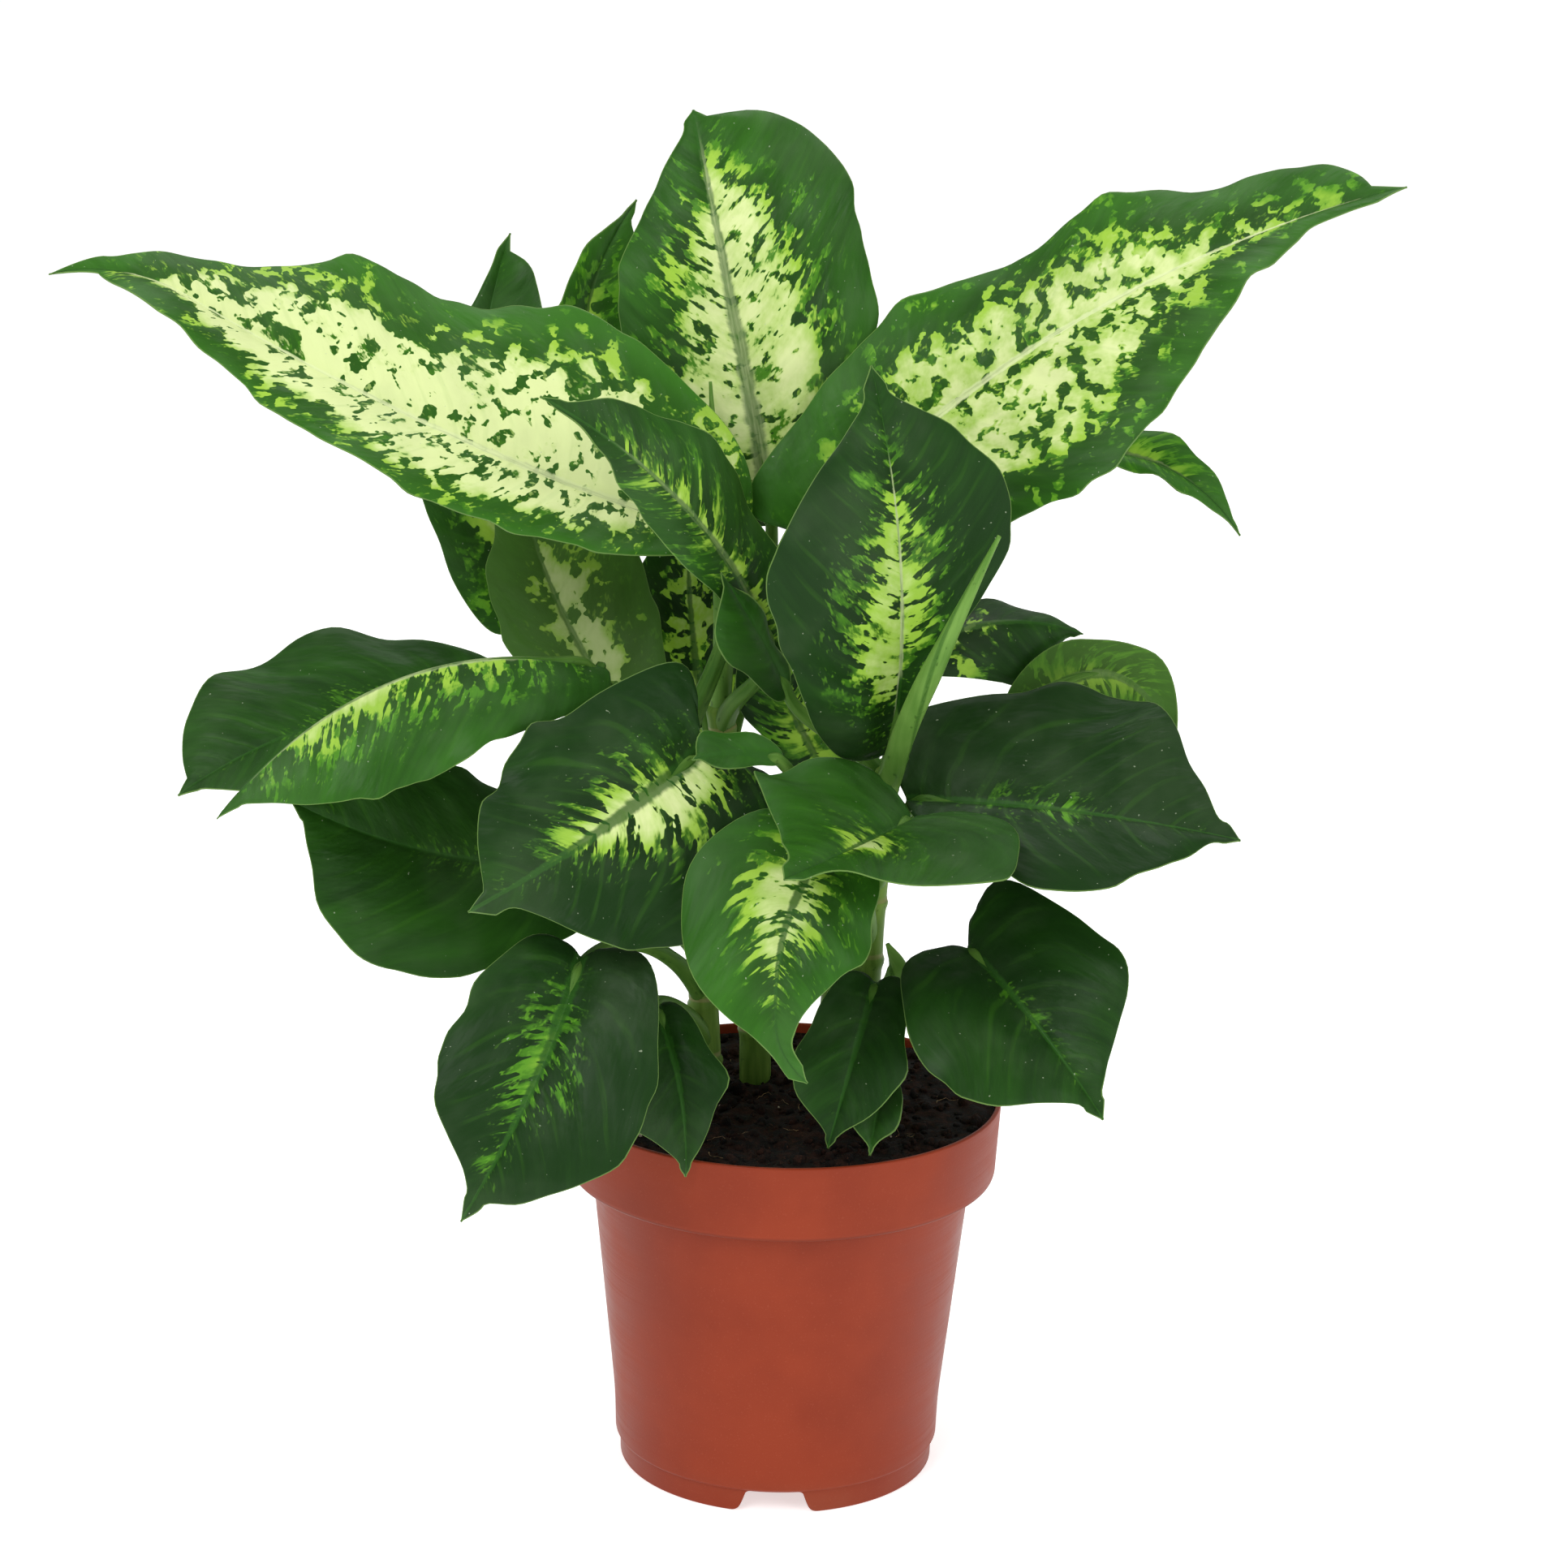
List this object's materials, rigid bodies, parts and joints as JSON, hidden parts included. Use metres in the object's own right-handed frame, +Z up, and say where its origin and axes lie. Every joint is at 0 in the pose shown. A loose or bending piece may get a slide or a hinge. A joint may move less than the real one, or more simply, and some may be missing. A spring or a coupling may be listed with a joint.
{
  "type": "potted foliage plant",
  "caption": "Young variegated houseplant with broad pointed leaves on short canes, standing in a plain round plastic nursery pot of soil.",
  "frame": {"origin": "middle of the whole plant's footprint, on the ground under the pot", "axes": "+Z up, -Y to the front, +X to the right as seen from the front"},
  "size_m": [0.3495, 0.231, 0.3685],
  "materials": {
    "pot": "satin terracotta-coloured plastic",
    "soil": "rough, matt, moist potting soil",
    "cane": "smooth light green stem with a soft gloss",
    "leaf": "dark green leaf with cream and yellow-green markings and a soft gloss",
    "shoot": "smooth light green young growth with a soft gloss"
  },
  "bodies": {
    "root": {"pot": "pot", "soil": "soil", "cane_left": "cane", "cane_centre": "cane", "cane_right": "cane", "cane_back": "cane", "leaf_top_left": "leaf", "leaf_top_centre": "leaf", "leaf_top_right": "leaf", "leaf_front_upright": "leaf", "leaf_back_left": "leaf", "leaf_behind_top": "leaf", "leaf_front_left": "leaf", "leaf_left_underside": "leaf", "leaf_inner": "leaf", "leaf_left_upper": "leaf", "leaf_left_folded": "leaf", "leaf_left_lower": "leaf", "leaf_centre_left": "leaf", "leaf_low_left": "leaf", "leaf_low_left_small": "leaf", "leaf_low_centre": "leaf", "leaf_right_wavy": "leaf", "leaf_right_large": "leaf", "leaf_right_behind": "leaf", "leaf_right_turned": "leaf", "leaf_right_slender": "leaf", "leaf_low_right": "leaf", "leaf_low_front": "leaf", "leaf_low_tip": "leaf", "leaf_small_green": "leaf", "leaf_inner_narrow": "leaf", "leaf_inner_dark": "leaf", "leaf_back_upper_right": "leaf", "leaf_back_upper_left": "leaf", "leaf_back_low_right": "leaf", "leaf_back_low_left": "leaf", "leaf_back_low": "leaf", "spear_right": "shoot", "spear_centre": "shoot", "sprout_upper": "shoot", "sprout_lower": "shoot"}
  },
  "joints": []
}
